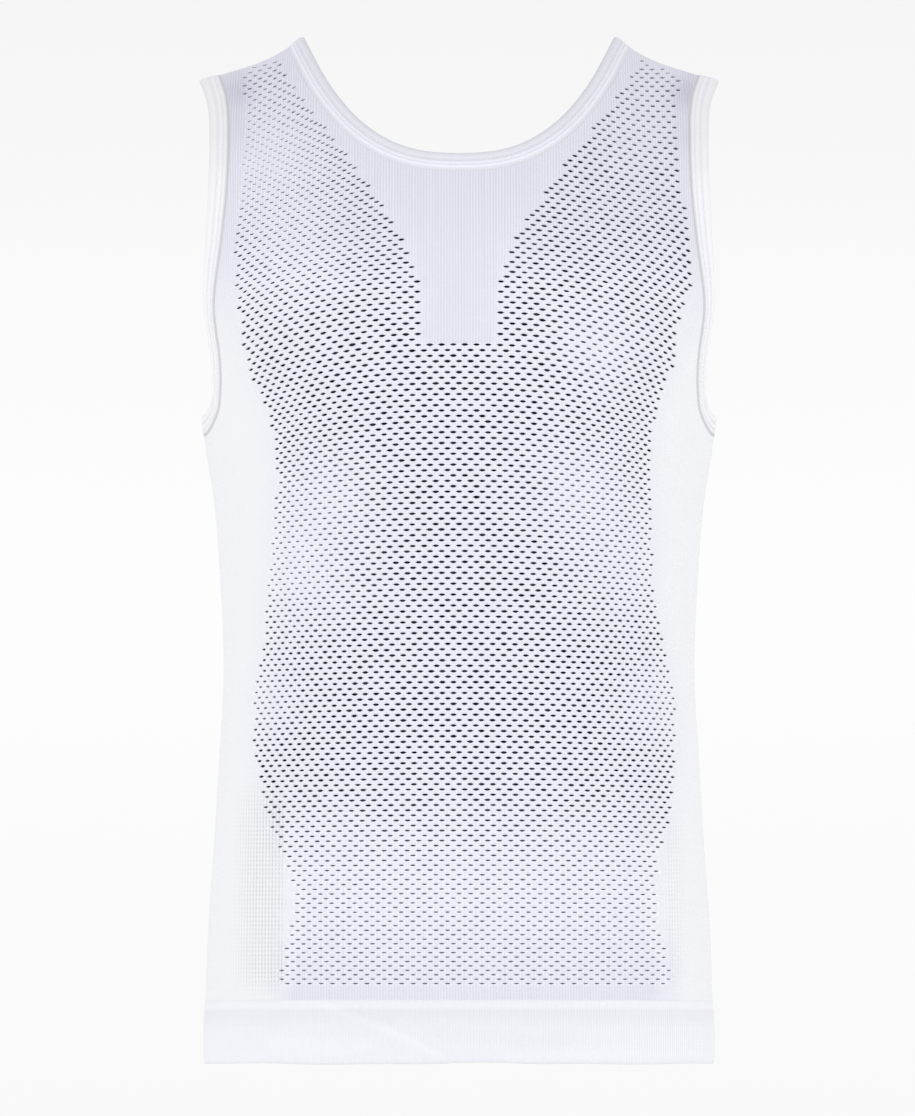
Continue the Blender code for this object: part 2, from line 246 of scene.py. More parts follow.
# The net, in millimetres and degrees. Each row of openings droops towards the sides, and lies half an
# opening's spacing along from the rows above and below it.
net = {
    "stops": (0, 33, 59, 85, 112, 138),  # distances from the middle, for the next two tables
    # height: spacing of the openings along a row
    "pitch": (
        (-619, 7.49, 7.56, 7.62, 7.49, 7.29, 6.90), (-566, 7.62, 7.62, 7.62, 7.56, 7.49, 6.90),
        (-527, 7.56, 7.56, 7.49, 7.23, 6.77, 5.91), (-474, 7.36, 7.36, 7.29, 6.77, 5.85, 4.93),
        (-422, 7.29, 7.29, 7.10, 6.24, 5.12, 4.60), (-369, 7.49, 7.42, 7.19, 6.21, 5.26, 4.60),
        (-317, 7.75, 7.69, 7.36, 6.67, 5.62, 4.73), (-277, 7.62, 7.56, 7.42, 6.64, 5.45, 4.93),
        (-238, 7.69, 7.62, 7.49, 6.83, 5.65, 5.26), (-202, 7.62, 7.88, 7.95, 7.69, 7.10, 5.98),
        (-159, 7.88, 7.92, 7.85, 7.56, 7.03, 6.21), (-120, 7.62, 7.49, 7.29, 7.10, 6.83, 6.50),
        (-87, 7.10, 7.10, 6.96, 6.83, 6.77, 6.83), (-28, 6.83, 6.83, 6.77, 6.64, 6.57, 6.90),
    ),
    # height: droop of a row
    "droop": (
        (-619, 0, 0, 0, 0, 0, 0), (-527, 0, 0.2, 0.4, 0.6, 0.8, 1), (-474, 0, 0.5, 1, 1.3, 1.6, 2),
        (-422, 0, 0.8, 1.4, 1.8, 2.4, 3), (-369, 0, 1.3, 2.0, 2.2, 3.4, 4.5),
        (-317, 0, 1.4, 3.2, 4.2, 5.6, 7), (-277, 0, 2.4, 4.3, 6.5, 9.5, 12),
        (-238, 0, 2.6, 5.6, 10.1, 14.0, 17), (-202, 0, 2.0, 6.1, 11.5, 15.6, 19.4),
        (-159, 0, 2.2, 4.7, 9.0, 13.4, 18.8), (-120, 0, 4.9, 7.2, 8.7, 10.1, 11.4),
        (-87, 0, 6, 10, 11.4, 11.8, 8.5), (-54, 0, 6, 12, 17, 15, 6), (-28, 0, 6, 12, 16, 14, 3),
    ),
    # height: turn of the straps' rows, up to the right
    "twist": ((-159, 0), (-120, 1.1), (-87, 2.5), (-54, 6.1), (-28, 7.4)),
    # height in the middle: distance between rows
    "rows": (
        (-622, 2.86), (-566, 3.02), (-527, 3.29), (-474, 3.51), (-396, 3.61), (-317, 3.55), (-238, 3.58),
        (-202, 3.68), (-178, 3.48), (-139, 3.22), (-106, 3.15), (-69, 3.15), (-34, 2.89), (0, 2.65),
    ),
    "lowestRow": -620.9,
    # height: where the net ends at the right and at the left
    "rightEdge": (
        (-621, 137), (-614, 140), (-601, 136), (-591, 133), (-580, 129), (-560, 128.5), (-545, 130),
        (-534, 131), (-523, 136), (-503, 140), (-470, 142), (-435, 142), (-395, 134), (-369, 128),
        (-317, 127), (-277, 125), (-258, 127), (-238, 131), (-212, 142), (-194, 144), (-186, 145.5),
        (-177, 148), (-168, 151), (-157, 153.5), (-143, 155.5), (-125, 152), (-110, 148.5), (-98, 145.5),
        (0, 144),
    ),
    "leftEdge": (
        (-621, 118), (-600, 114.5), (-576, 109), (-550, 109.5), (-537, 117), (-525, 120), (-505, 128),
        (-486, 131), (-468, 135), (-435, 135), (-396, 128.5), (-363, 125.5), (-320, 122.5), (-310, 121.5),
        (-289, 119), (-277, 121), (-255, 123.5), (-242, 127), (-227, 134.5), (-198, 143), (-172, 146.5),
        (-145, 147.8), (-122, 145), (-106, 143), (-47, 140.5), (0, 145),
    ),
    # height: half width of the plain yoke
    "yoke": (
        (-201, 0), (-199, 25), (-196, 26.5), (-185, 26), (-170, 25.5), (-157, 28), (-147, 30),
        (-137, 33.5), (-127, 39), (-115, 46), (-106.5, 52), (-98.5, 58), (-90, 64.5), (-80, 69.5),
        (-71.5, 77), (-63, 84), (-54, 91), (-39, 102.5), (-24, 113), (-17, 117.5), (0, 124),
    ),
    # height: where the back's net ends at both sides, and half the width of its yoke
    "backEdge": ((-621, 122), (-540, 120), (-474, 128), (-369, 118), (-277, 117), (-205, 136), (0, 140)),
    "backYoke": ((-122, 0), (-120, 40), (-108, 64), (-90, 84), (-60, 100), (-24, 113), (0, 124)),
    "margin": 0.0022,  # plain cloth along the bindings
    "belowYoke": -40,  # the yoke's half width where there is none
    "fieldStep": 0.002,
    "reach": 0.176,
}


def borders(height, side):
    # where the net ends at the right and at the left, and half the width of its yoke
    if side == front:
        names = ("rightEdge", "leftEdge", "yoke")
    else:
        names = ("backEdge", "backEdge", "backYoke")
    right, left, yoke = (net[name] for name in names)
    return faded(height, right), faded(height, left), faded(height, yoke, left=net["belowYoke"])


def stopped(table, stops, distance, height):
    # a table's value, which changes with the height and with the distance from the middle
    rows = np.array(table, float)
    columns = [np.interp(height, rows[:, 0], rows[:, 1 + i]) for i in range(len(stops))]
    share = np.clip(np.interp(distance, stops, range(len(stops))), 0, len(stops) - 1)
    low = min(int(share), len(stops) - 2)
    return columns[low] + (columns[low + 1] - columns[low]) * (share - low)


def latticeFor(side):
    # the places in the view, in metres, where the net's lines cross: half a row and half a column apart
    step, reach = net["fieldStep"] * 1000, net["reach"] * 1000
    heights = np.arange(-700.0, 60.0, 1.0)
    gaps = faded(heights, net["rows"])
    run = np.concatenate([[0], np.cumsum((1 / gaps[1:] + 1 / gaps[:-1]) / 2)])
    middleRows = run - np.interp(net["lowestRow"], heights, run)
    rowNumbers = np.arange(-1, 2 * int(middleRows[-1])) / 2
    halves = []
    for hand in (-1, 1):
        rowLines, columnLines = [middleRows], [np.zeros(len(heights))]
        distances = np.arange(0, reach + step, step)
        for distance in distances[1:] - step / 2:
            droop = stopped(net["droop"], net["stops"], distance, heights)
            droop = droop - hand * (side == front) * faded(heights, net["twist"])
            pitch = stopped(net["pitch"], net["stops"], distance, heights)
            source = heights + step * np.tan(np.radians(droop))
            rowLines.append(np.interp(source, heights, rowLines[-1]))
            along = step / np.cos(np.radians(droop)) / pitch
            columnLines.append(np.interp(source, heights, columnLines[-1]) + along)
        rowHeights = np.array([np.interp(rowNumbers, line, heights) for line in rowLines])
        columns = np.array([np.interp(at, heights, line) for at, line in zip(rowHeights, columnLines)])
        halves.append((distances, rowHeights, columns))
    most = int(2 * min(half[2][-1].min() for half in halves)) - 1
    columnNumbers = np.arange(-most, most + 1) / 2
    across = np.zeros((len(rowNumbers), len(columnNumbers)))
    up = np.zeros_like(across)
    for row in range(len(rowNumbers)):
        for hand, (distances, rowHeights, columns) in zip((-1, 1), halves):
            mine = columnNumbers * hand >= 0
            away = np.interp(np.abs(columnNumbers[mine]), columns[:, row], distances)
            across[row, mine] = hand * away
            up[row, mine] = np.interp(away, distances, rowHeights[:, row])
    return rowNumbers, columnNumbers, across / 1000, up / 1000


def nearestEdge(points, outline):
    # distance of flat points from a closed outline
    start, end = outline, np.roll(outline, -1, axis=0)
    run = end - start
    nearest = np.full(len(points), np.inf)
    for a, r in zip(start, run):
        along = np.clip(((points - a) @ r) / (r @ r), 0, 1)
        nearest = np.minimum(nearest, np.linalg.norm(a + along[:, None] * r - points, axis=1))
    return nearest


def within(points, outline):
    inside = np.zeros(len(points), bool)
    for a, b in zip(outline, np.roll(outline, -1, axis=0)):
        spans = (a[1] > points[:, 1]) != (b[1] > points[:, 1])
        rising = b[1] - a[1] if b[1] != a[1] else 1
        crossing = a[0] + (points[:, 1] - a[1]) / rising * (b[0] - a[0])
        inside ^= spans & (crossing > points[:, 0])
    return inside


# An opening is a lens with pointed ends. Its halves are shares of the spacing and of the row distance.
openings = {
    "halfLength": 0.33,
    "halfHeight": 0.215,
    "shoulder": 0.30,
    "depth": 0.0010,
    "rimFall": 0.00015,
    "droopBelow": 1.25,  # the lower edge hangs a little fuller
    "sizeVaries": 0.06,
    # how much the painted shade in the openings varies at random
    "paintedShadeVaries": 0.025,
    "rimGain": 4.0,  # a stronger painted highlight on the lips of smaller openings
    # the widest spacing and row distance that openings grow with, where the cloth turns away
    "longest": 0.0088,
    "tallest": 0.0050,
    "seed": 7,
    # how bright the painted highlight on the lip is at each corner, from the left tip round below
    "rim": (0.5, 1.0, 1.0, 0.5, 0.35, 0.35),
    # smaller and softer openings, with less painted shade: across, up and radius in millimetres, share of the
    # size, share of the painted shade
    "closing": (
        (-135, -74, 44, 0.52, 0.84), (-112, -133, 46, 0.76, 0.93), (128, -50, 36, 0.78, 0.86),
        (93, -202, 24, 0.80, 0.72), (79, -297, 28, 0.78, 0.66), (-85, -297, 26, 0.82, 0.72),
        (-113, -343, 42, 0.64, 0.54), (114, -343, 38, 0.80, 0.72), (-131, -435, 22, 0.76, 0.66),
        (134, -435, 26, 0.80, 0.70),
    ),
    # height in millimetres: share of the size, share of the painted shade
    "low": (
        (-620, 0.64, 0.64), (-560, 0.63, 0.68), (-530, 0.73, 0.83), (-500, 0.90, 0.94),
        (-470, 0.96, 0.98),
    ),
}


def closing(across, up):
    # how big the openings are, and how much painted shade their ends carry
    size = faded(up * 1000, openings["low"])
    paintedShade = faded(up * 1000, openings["low"], 2)
    for x, z, radius, kept, shade in openings["closing"]:
        near = np.exp(-(((across * 1000 - x) ** 2 + (up * 1000 - z) ** 2) / radius**2))
        size = size * (1 - (1 - kept) * near)
        paintedShade = paintedShade * (1 - (1 - shade) * near)
    return size, paintedShade


# The knit's own gauge, in metres: four wales to a pitch and three courses to a row. It starts below the hem.
knitGauge = {"pitch": 0.00745, "row": 0.0036, "below": 0.005}


def knitPlace(angle, level, side):
    # UV of the cloth: wales counted along each section from the middle, courses up the body
    angles = np.linspace(0, math.pi / 2, samples["across"])
    levels = np.linspace(form["hemLow"] - knitGauge["below"], topLevel, samples["up"])
    grid = place(angles[None, :], levels[:, None] + 0 * angles, side)
    steps = np.linalg.norm(np.diff(grid, axis=1), axis=2)
    run = np.concatenate([np.zeros((len(levels), 1)), np.cumsum(steps, axis=1)], axis=1)
    i = np.interp(level, levels, np.arange(len(levels)))
    j = np.interp(np.abs(angle), angles, np.arange(len(angles)))
    low, left = np.minimum(i.astype(int), len(levels) - 2), np.minimum(j.astype(int), len(angles) - 2)
    i, j = i - low, j - left
    along = run[low, left] * (1 - i) * (1 - j) + run[low, left + 1] * (1 - i) * j
    along += run[low + 1, left] * i * (1 - j) + run[low + 1, left + 1] * i * j
    return np.stack([np.sign(angle) * along / knitGauge["pitch"], level / knitGauge["row"]], axis=-1)


def openingCells(side, rowNumbers, columnNumbers, across, up, flat, outline):
    # the openings whose whole cell lies on the net
    rows, columns = np.meshgrid(np.arange(len(rowNumbers)), np.arange(len(columnNumbers)), indexing="ij")
    rowOf, columnOf = np.round(2 * rowNumbers[rows]), np.round(2 * columnNumbers[columns])
    centre = (rowOf % 2 == 0) & ((columnOf - rowOf / 2) % 2 == 0)
    centre &= (rows > 0) & (rows < len(rowNumbers) - 1)
    centre &= (columns > 0) & (columns < len(columnNumbers) - 1) & (rowNumbers[rows] >= 0)
    x, z = across * 1000, up * 1000
    right, left, yoke = borders(z, side)
    centre &= (x < right) & (-x < left) & (np.abs(x) > yoke)
    found = np.argwhere(centre)
    points = flat.reshape(-1, 2)
    clear = np.zeros(len(points), bool)
    inside = within(points, outline)
    clear[inside] = nearestEdge(points[inside], outline) > net["margin"]
    clear = clear.reshape(centre.shape)
    kept = [(r, c) for r, c in found if clear[r - 1 : r + 2 : 2, c - 1 : c + 2].all()]
    return np.array(kept)


def closedLine(count):
    return [(a, (a + 1) % count) for a in range(count)]


# How far apart points lie on the plain cloth and on the inner face, how far from the net, and how far to
# the sides and over the chest they reach, in metres. Their rows lie closer than their columns.
spacing = {"plain": 0.0085, "inner": 0.014, "clear": 0.004, "aside": 0.24, "over": 0.22, "rows": 0.87}


def filling(outline, gap):
    # an even net of points inside a flat outline
    half = int(spacing["aside"] / gap)
    levels = np.arange(form["hemTop"] + gap / 2, form["chest"] + spacing["over"], gap * spacing["rows"])
    points = [((i + j % 2 / 2) * gap, z) for j, z in enumerate(levels) for i in range(-half, half + 1)]
    points = np.array(points)
    points = points[within(points, outline)]
    return points[nearestEdge(points, outline) > gap / 2]


def triangulated(coordinates, lines):
    made = mathutils.geometry.delaunay_2d_cdt([Vector(p) for p in coordinates], lines, [], 1, 1e-7)
    order = [sources[0] for sources in made[3]]
    return np.array([[order[corner] for corner in face] for face in made[2]])


def reached(triangles, lines, outlineCount):
    # the triangles that are reached from the outline without crossing the net's border
    walls = {tuple(sorted(line)) for line in lines}
    beside = {}
    for index, (a, b, c) in enumerate(triangles.tolist()):
        for line in ((a, b), (b, c), (c, a)):
            beside.setdefault(tuple(sorted(line)), []).append(index)
    kept = set(np.flatnonzero((triangles < outlineCount).any(axis=1)).tolist())
    ahead = list(kept)
    while ahead:
        a, b, c = triangles[ahead.pop()].tolist()
        for line in ((a, b), (b, c), (c, a)):
            line = tuple(sorted(line))
            if line not in walls:
                new = [index for index in beside[line] if index not in kept]
                kept.update(new)
                ahead.extend(new)
    return triangles[sorted(kept)]


def layPanel(side):
    # all points, faces and marks of one knitted panel, with its openings
    rowNumbers, columnNumbers, across, up = latticeFor(side)
    angle, level = onSurface(across, up, side)
    flat = np.stack([angle * form["arc"], level], axis=-1)
    outline = wholeOutline(side)
    flatOutline = outline * (form["arc"], 1)
    cells = openingCells(side, rowNumbers, columnNumbers, across, up, flat, flatOutline)
    print(sideNames[side], "panel:", len(cells), "openings")

    # the lattice's own points round each cell
    corners = [(-1, -1), (-1, 0), (-1, 1), (1, 1), (1, 0), (1, -1)]
    loops = np.stack([cells + np.array(corner) for corner in corners], axis=1)
    codes = loops[..., 0] * len(columnNumbers) + loops[..., 1]
    used, cellCorners = np.unique(codes, return_inverse=True)
    cellCorners = cellCorners.reshape(codes.shape)
    r, c = used // len(columnNumbers), used % len(columnNumbers)
    netSpots = np.stack([angle[r, c], level[r, c]], axis=-1)

    # the plain cloth round the net
    following = np.roll(cellCorners, -1, axis=1)
    edges = np.concatenate([np.stack([cellCorners[:, i], following[:, i]], axis=-1) for i in range(6)])
    shared, counts = np.unique(np.sort(edges, axis=1), axis=0, return_counts=True)
    border = shared[counts == 1]
    fill = filling(flatOutline, spacing["plain"])
    borderPoints = flat[r, c][np.unique(border)]
    tree = mathutils.kdtree.KDTree(len(borderPoints))
    for index, point in enumerate(borderPoints):
        tree.insert((point[0], point[1], 0), index)
    tree.balance()
    fill = fill[[tree.find((x, z, 0))[2] > spacing["clear"] for x, z in fill]]
    coordinates = np.concatenate([flatOutline, flat[r, c], fill])
    first = len(outline)
    lines = [(int(a) + first, int(b) + first) for a, b in border]
    plain = reached(triangulated(coordinates, closedLine(first) + lines), lines, first)

    spots = np.concatenate([outline, netSpots, fill / (form["arc"], 1)])
    points = place(spots[:, 0], spots[:, 1], side)
    out = outward(spots[:, 0], spots[:, 1], side)
    for start, end in ((flankStart, armholeStart), (shoulderStart, neckStart)):
        seam = np.arange(start, end + 1)
        out[np.concatenate([seam, first - seam]), 1] = 0
    out = unit(out)
    return {
        "side": side,
        "outline": outline,
        "points": points,
        "out": out,
        "plain": plain,
        "cells": cells,
        "cellCorners": cellCorners + first,
        "lattice": (across, up, angle, level),
        "spots": spots,
        "liner": filling(flatOutline, spacing["inner"]),
    }


def shortened(vectors, most):
    lengths = np.linalg.norm(vectors, axis=-1, keepdims=True)
    return vectors * np.minimum(1, most / lengths)


def addOpenings(panel):
    # rings of cloth round the openings, their walls and their ends, whose colour is painted shade
    side = panel["side"]
    across, up, angle, level = panel["lattice"]
    cells, cornersOf = panel["cells"], panel["cellCorners"]
    r, c = cells[:, 0], cells[:, 1]
    spots = place(angle, level, side)
    middle = spots[r, c]
    along = shortened(spots[r, c + 1] - spots[r, c - 1], openings["longest"])
    rise = shortened(spots[r + 1, c] - spots[r - 1, c], openings["tallest"])
    out = outward(angle[r, c], level[r, c], side)
    size, paintedShade = closing(across[r, c], up[r, c])
    chance = np.random.default_rng(openings["seed"])
    size = size * chance.normal(1, openings["sizeVaries"], len(cells))
    paintedShade = np.clip(paintedShade * chance.normal(1, openings["paintedShadeVaries"], len(cells)), 0, 1)
    length = openings["halfLength"] * np.sqrt(size)
    height = openings["halfHeight"] * size
    shoulder, below = openings["shoulder"], openings["droopBelow"]
    shape = [(-1, 0), (-shoulder, -below), (shoulder, -below), (1, 0), (shoulder, 1), (-shoulder, 1)]
    rim, end = [], []
    for x, z in shape:
        at = middle + along * (x * length)[:, None] + rise * (z * height)[:, None]
        rim.append(at - out * openings["rimFall"])
        end.append(at - out * openings["depth"])
    rim, end = np.stack(rim, axis=1), np.stack(end, axis=1)
    first = len(panel["points"])
    count = len(cells)
    rimAt = first + np.arange(count * 6).reshape(count, 6)
    endAt = rimAt + count * 6
    # two triangles to each corner of a cell, and the walls that go down into the cloth
    links, walls = [], []
    for i, j in closedLine(6):
        links.append((cornersOf[:, i], rimAt[:, j], rimAt[:, i]))
        links.append((cornersOf[:, i], cornersOf[:, j], rimAt[:, j]))
        walls.append(np.stack([rimAt[:, i], rimAt[:, j], endAt[:, j], endAt[:, i]], axis=-1))
    # the same lens in angle and level, for the knit's own place
    turnAlong = np.stack([angle[r, c + 1] - angle[r, c - 1], level[r, c + 1] - level[r, c - 1]], axis=-1)
    turnRise = np.stack([angle[r + 1, c] - angle[r - 1, c], level[r + 1, c] - level[r - 1, c]], axis=-1)
    centre = np.stack([angle[r, c], level[r, c]], axis=-1)
    lens = [centre + turnAlong * (x * length)[:, None] + turnRise * (z * height)[:, None] for x, z in shape]
    lens = np.stack(lens, axis=1).reshape(-1, 2)
    knit = knitPlace(lens[:, 0], lens[:, 1], side)
    return {
        "points": np.concatenate([rim.reshape(-1, 3), end.reshape(-1, 3)]),
        "knit": np.concatenate([knit, knit]),
        "rings": np.concatenate([np.stack(link, axis=-1) for link in links]),
        "walls": np.concatenate(walls),
        "ends": endAt,
        # painted shade for each corner of each opening
        "paintedShade": np.repeat(paintedShade, 6),
        # a painted highlight on each opening's lip, brightest below
        "rim": (np.array(openings["rim"]) * (1 + openings["rimGain"] * (1 - size[:, None]))).ravel(),
    }


print("form ready")


def pieceFrom(name, points, groups, knit=None, marks=None):
    # each group of faces has its faces, its material's number and whether it is shaded smooth
    mesh = bpy.data.meshes.new(name)
    groups = [(np.asarray(faces), slot, soft) for faces, slot, soft in groups if len(faces)]
    loops = np.concatenate([faces.ravel() for faces, slot, soft in groups])
    sizes = np.concatenate([np.full(len(faces), faces.shape[1]) for faces, slot, soft in groups])
    mesh.vertices.add(len(points))
    mesh.vertices.foreach_set("co", np.asarray(points, np.float32).ravel())
    mesh.loops.add(len(loops))
    mesh.loops.foreach_set("vertex_index", loops.astype(np.int32))
    mesh.polygons.add(len(sizes))
    mesh.polygons.foreach_set("loop_start", (np.cumsum(sizes) - sizes).astype(np.int32))
    slots = np.concatenate([np.full(len(faces), slot) for faces, slot, soft in groups])
    mesh.polygons.foreach_set("material_index", slots.astype(np.int32))
    softs = np.concatenate([np.full(len(faces), soft) for faces, slot, soft in groups])
    mesh.polygons.foreach_set("use_smooth", softs)
    mesh.update(calc_edges=True)
    if knit is not None:
        layer = mesh.uv_layers.new(name="knit")
        layer.data.foreach_set("uv", np.asarray(knit, np.float32)[loops].ravel())
    for mark, values in (marks or {}).items():
        attribute = mesh.attributes.new(mark, "FLOAT", "POINT")
        attribute.data.foreach_set("value", np.asarray(values, np.float32))
    piece = bpy.data.objects.new(name, mesh)
    bpy.context.scene.collection.objects.link(piece)
    return piece


def dress(piece, slot, nodes, *materials):
    for material in materials:
        piece.data.materials.append(material)
    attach(piece, "root")
    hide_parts(*nodes)
    return piece


def addPanel(side):
    panel = layPanel(side)
    holes = addOpenings(panel)
    outline, points, out = panel["outline"], panel["points"], panel["out"]
    outer = np.concatenate([points, holes["points"]])

    # the inner face, without openings
    coordinates = np.concatenate([outline * (form["arc"], 1), panel["liner"]])
    lining = triangulated(coordinates, closedLine(len(outline))) + len(outer)
    spots = np.concatenate([outline, panel["liner"] / (form["arc"], 1)])
    innerOut = outward(spots[:, 0], spots[:, 1], side)
    innerOut[: len(outline)] = out[: len(outline)]
    inner = place(spots[:, 0], spots[:, 1], side) - form["wall"] * innerOut
    # the cut edge has points of its own, so that the faces beside it stay flat
    n = len(outline)
    around = np.arange(n) + len(outer) + len(inner)
    after = np.roll(around, -1)
    rim = np.stack([around, around + n, after + n, after], axis=-1)
    groups = [
        (panel["plain"], 0, True), (holes["rings"], 0, True), (holes["walls"], 0, False),
        (holes["ends"], 1, False), (lining[:, ::-1], 2, True), (rim, 0, False),
    ]
    if side == back:
        groups = [(faces[:, ::-1], slot, soft) for faces, slot, soft in groups]
    everything = np.concatenate([outer, inner, outer[:n], inner[:n]])
    innerKnit = knitPlace(*spots.T, side)
    knit = [knitPlace(*panel["spots"].T, side), holes["knit"], innerKnit, innerKnit[:n], innerKnit[:n]]
    # marks of painted light: painted shade on the openings' ends, a painted highlight on their lips and
    # painted sheer shade over the cloth
    paintedShade = np.zeros(len(everything))
    paintedShade[len(points) : len(outer)] = np.concatenate([holes["paintedShade"]] * 2)
    rimHighlight = np.zeros(len(everything))
    rimHighlight[len(points) : len(points) + len(holes["rim"])] = holes["rim"]
    across, up = viewed(everything)
    marks = {"paintedShade": paintedShade, "rim": rimHighlight, "sheerShade": paintedSheerShade(across, up, side)}
    marks["eyelet"] = eyelets(across, up)
    marks["open"] = openZone(across, up, side)
    name = sideNames[side] + "_net_panel"
    piece = pieceFrom(name, everything, groups, np.concatenate(knit), marks)
    dress(piece, "net_knit", ["body_" + sideNames[side]], knitCloth, openingShade, liningCloth)
    piece.data.calc_loop_triangles()
    print(name, len(piece.data.loop_triangles), "triangles")
    a, b, c = (everything[lining[:, i]] for i in range(3))
    panel["area"] = np.linalg.norm(np.cross(b - a, c - a), axis=1).sum() / 2
    return piece, panel


def cutSize(panel, hemHeight):
    # what shows of the panel laid flat, down to its hem's fold: width, length and area in metres
    side, count = panel["side"], samples["waist"]
    levels = np.linspace(form["hemLow"], form["underarm"], count)
    wide = 2 * knitPlace(np.full(count, math.pi / 2), levels, side)[:, 0].max() * knitGauge["pitch"]
    count = samples["strap"]
    levels = np.linspace(form["hemLow"], topLevel, count)
    strap = place(np.full(count, panel["outline"][shoulderStart, 0]), levels, side)
    long = np.linalg.norm(np.diff(strap, axis=0), axis=1).sum()
    area = panel["area"] + hemHeight * wide
    name = sideNames[side]
    print(name, "cut that shows: %.3f by %.3f m, %.4f square metres" % (wide, long, area))
    turned = (long + hemHeight, area + hemHeight * wide)
    print(name, "cut with its turned layer: %.3f m long, %.4f" % turned)
    return wide, long, area


# Painted sheer shade: how much of the shaded inside shows through the cloth, with painted shade on the
# straps' tops and beside the armhole bands: 0 in the dense sides, 1 at the darkest corner.
sheerShade = {
    "net": 0.30,
    "yoke": ((-201, 0.46), (-140, 0.52), (-95, 0.62), (0, 0.70)),  # by height
    # painted shade on the straps, growing towards their tops, which lean away from the light
    "strap": (
        (-215, 0.0), (-172, 0.20), (-159, 0.32), (-130, 0.50), (-106, 0.56), (-87, 0.58), (-40, 0.68),
        (0, 0.75),
    ),
    # millimetres over which tones fade, and the share that they have at the border itself
    "edge": 22,
    "edgeShare": 0.5,
    "yokeEdge": 10,
    "yokeShare": 0.6,
    "lowBand": ((-640, 0.50), (-622, 0.44), (-590, 0.36), (-560, 0.30)),
    # painted shade on the straps' outer corners beside the armhole bands: across, up, radius, amount
    "shaded": ((-147, -34, 13, 0.26), (153, -36, 13, 0.34), (152, -64, 12, 0.18), (-148, -60, 12, 0.16)),
}


def paintedSheerShade(across, up, side):
    x, z = across * 1000, up * 1000
    right, left, yoke = borders(z, side)
    inside = np.minimum(right - x, left + x)
    onNet = np.clip(sheerShade["edgeShare"] + inside / sheerShade["edge"], 0, 1)
    onYoke = np.clip(sheerShade["yokeShare"] + (yoke - np.abs(x)) / sheerShade["yokeEdge"], 0, 1)
    tone = np.maximum(faded(z, sheerShade["lowBand"]), sheerShade["net"]) * onNet
    tone = np.maximum(tone, faded(z, sheerShade["yoke"]) * onYoke)
    tone = np.maximum(tone, faded(z, sheerShade["strap"]))
    for away, high, radius, amount in sheerShade["shaded"]:
        tone = tone + amount * np.exp(-((x - away) ** 2 + (z - high) ** 2) / radius**2)
    return tone


# The finer eyelets low at both sides, in millimetres: from and to across, their lowest and highest height.
# They fade in fast and out slowly across, in shares of the patch, and in millimetres at both heights.
eyeletFade = {"in": 12, "out": 2.2, "low": 3, "high": 30}
eyeletPatches = {
    "left": {"from": -114, "to": -150, "low": -622, "high": -484, "strength": 1.0},
    "right": {"from": 135, "to": 150, "low": -622, "high": -500, "strength": 0.45},
}


def eyelets(across, up):
    x, z = across * 1000, up * 1000
    found = np.zeros(len(x))
    for patch in eyeletPatches.values():
        start, end = patch["from"], patch["to"]
        share = (x - start) / (end - start)
        inside = np.clip(share * eyeletFade["in"], 0, 1) * np.clip((1 - share) * eyeletFade["out"], 0, 1)
        tall = np.clip((z - patch["low"]) / eyeletFade["low"], 0, 1)
        tall = tall * np.clip((patch["high"] - z) / eyeletFade["high"], 0, 1)
        found = np.maximum(found, inside * tall * patch["strength"])
    return found


def openZone(across, up, side):
    # 1 where the net is open, for the look of its inner face
    x, z = across * 1000, up * 1000
    right, left, yoke = borders(z, side)
    return ((x < right) & (-x < left) & (np.abs(x) > yoke) & (z > net["lowestRow"])).astype(float)


